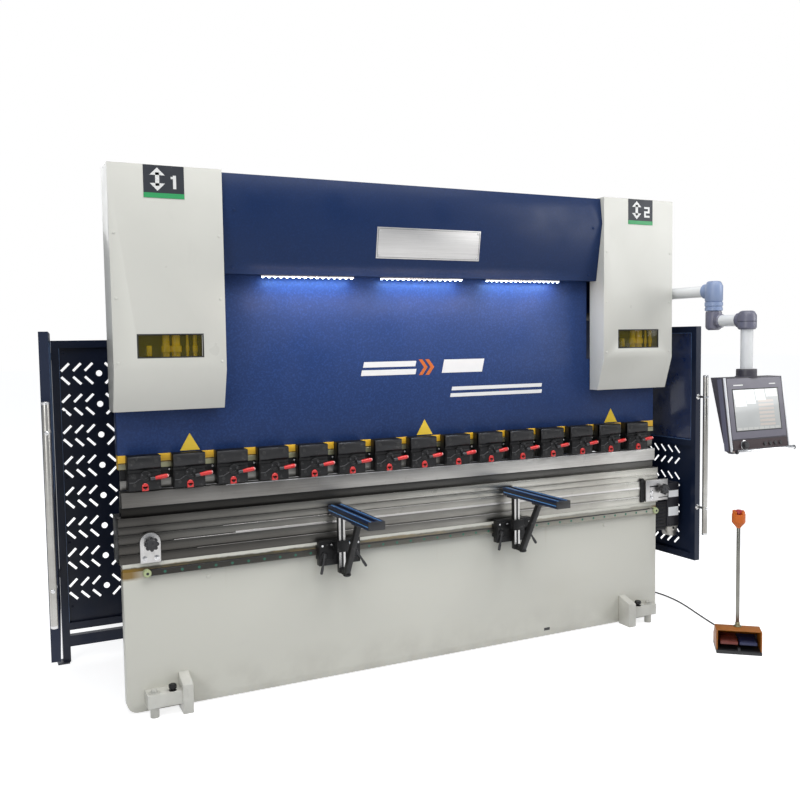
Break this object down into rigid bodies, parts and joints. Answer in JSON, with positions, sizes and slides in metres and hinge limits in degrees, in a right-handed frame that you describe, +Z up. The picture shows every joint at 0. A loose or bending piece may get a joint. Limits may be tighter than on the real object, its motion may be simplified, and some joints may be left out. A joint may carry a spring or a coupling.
{
  "type": "press brake",
  "caption": "Hydraulic press brake: broad ram and grooved bed between hooded end cylinders, quick clamps, swing side doors, sheet supports, arm-hung control pendant, foot station.",
  "frame": {"origin": "on the floor, at the centre of the four anchor holes", "axes": "+X to the operator's right along the bed, +Y to the machine's rear, +Z up"},
  "size_m": [3.889, 2.3746, 2.549],
  "materials": {
    "white_paint": "gloss",
    "blue_paint": "gloss",
    "navy_paint": "satin",
    "steel": "ground",
    "dark_steel": "oiled",
    "chromed": "polished",
    "yellow_paint": "satin",
    "amber": "clear",
    "led": "lit",
    "black_plastic": "satin",
    "red_plastic": "gloss",
    "grey_paint": "satin",
    "light_blue_paint": "satin",
    "orange_plastic": "gloss",
    "pane": "clear",
    "screen": "gloss",
    "lead": "matt",
    "blue_plastic": "satin"
  },
  "bodies": {
    "machine_frame": {"side_frame_left": "blue_paint", "side_frame_right": "blue_paint", "bed_apron": "white_paint", "bed_table": "steel", "die_seat": "dark_steel", "lower_die": "steel", "front_gussets": "white_paint", "anchor_lugs": "white_paint", "cylinders": "dark_steel", "ram_guides": "dark_steel", "cover_left": "white_paint", "cover_right": "white_paint", "cover_windows": "amber", "hood": "navy_paint", "led_strips": "led", "upper_tie_beam": "blue_paint", "rear_tie_beam": "blue_paint", "oil_tank": "blue_paint", "pump_motor": "grey_paint", "back_gauge": "grey_paint", "electric_cabinet": "white_paint", "linear_rail": "steel", "level_brackets": "steel", "level_knobs": "black_plastic", "crowning_drive": "grey_paint", "guard_panel_left": "white_paint", "guard_panel_right": "white_paint", "pendant_arm_upper": "white_paint", "pedal_hood": "orange_plastic", "pedal_column": "steel", "stop_housing": "orange_plastic", "pedal_base": "black_plastic", "pedal_cord": "lead"},
    "ram_body": {"ram": "blue_paint", "punch_strip": "yellow_paint", "punch": "steel", "punch_clamps": "steel", "clamp_levers": "red_plastic", "clamp_tabs": "red_plastic", "piston_rods": "chromed"},
    "door_left": {"guard_door_left": "white_paint", "guard_pane_left": "pane", "guard_handle_left": "chromed"},
    "door_right": {"guard_door_right": "white_paint", "guard_pane_right": "pane", "guard_handle_right": "chromed"},
    "pendant_arm": {"pendant_arm_lower": "light_blue_paint"},
    "pendant_head": {"pendant_housing": "grey_paint", "pendant_screen": "screen", "pendant_handle": "chromed"},
    "carriage_left": {"support_carriage_left": "steel"},
    "arm_left": {"support_post_left": "chromed", "support_arm_left": "dark_steel"},
    "carriage_right": {"support_carriage_right": "steel"},
    "arm_right": {"support_post_right": "chromed", "support_arm_right": "dark_steel"},
    "treadle_left": {"pedal_left": "red_plastic"},
    "treadle_right": {"pedal_right": "blue_plastic"},
    "button": {"stop_button": "red_plastic"}
  },
  "joints": [
    {"name": "ram_slide", "type": "slide", "parent": "machine_frame", "child": "ram_body", "axis": [0, 0, 1], "range_m": [0, 0.2]},
    {"name": "door_left_hinge", "type": "hinge", "parent": "machine_frame", "child": "door_left", "pos_m": [-1.825, 0.14, 0.9], "axis": [0, 0, 1], "range_deg": [-100, 5]},
    {"name": "door_right_hinge", "type": "hinge", "parent": "machine_frame", "child": "door_right", "pos_m": [1.825, 0.14, 0.9], "axis": [0, 0, 1], "range_deg": [-1.4, 100]},
    {"name": "pendant_arm_hinge", "type": "hinge", "parent": "machine_frame", "child": "pendant_arm", "pos_m": [1.7, -1.092, 1.889], "axis": [0, 0, 1], "range_deg": [-60, 60]},
    {"name": "pendant_head_hinge", "type": "hinge", "parent": "pendant_arm", "child": "pendant_head", "pos_m": [1.7, -1.339, 1.56], "axis": [0, 0, 1], "range_deg": [-90, 90]},
    {"name": "support_left_slide", "type": "slide", "parent": "machine_frame", "child": "carriage_left", "axis": [1, 0, 0], "range_m": [-0.75, 0.4]},
    {"name": "support_left_height", "type": "slide", "parent": "carriage_left", "child": "arm_left", "axis": [0, 0, 1], "range_m": [-0.11, 0.07]},
    {"name": "support_right_slide", "type": "slide", "parent": "machine_frame", "child": "carriage_right", "axis": [1, 0, 0], "range_m": [-0.35, 0.79]},
    {"name": "support_right_height", "type": "slide", "parent": "carriage_right", "child": "arm_right", "axis": [0, 0, 1], "range_m": [-0.11, 0.07]},
    {"name": "treadle_left_hinge", "type": "hinge", "parent": "machine_frame", "child": "treadle_left", "pos_m": [1.63735, -1.34314, 0.056], "axis": [0.766, -0.6428, 0], "range_deg": [0, 8], "stiffness_Nm_per_rad": 20, "springref_deg": -5.73},
    {"name": "treadle_right_hinge", "type": "hinge", "parent": "machine_frame", "child": "treadle_right", "pos_m": [1.63735, -1.34314, 0.056], "axis": [0.766, -0.6428, 0], "range_deg": [0, 8], "stiffness_Nm_per_rad": 20, "springref_deg": -5.73},
    {"name": "stop_button_slide", "type": "slide", "parent": "machine_frame", "child": "button", "axis": [0, 0, -1], "range_m": [0, 0.004], "stiffness_N_per_m": 2000, "springref_m": -0.005}
  ]
}
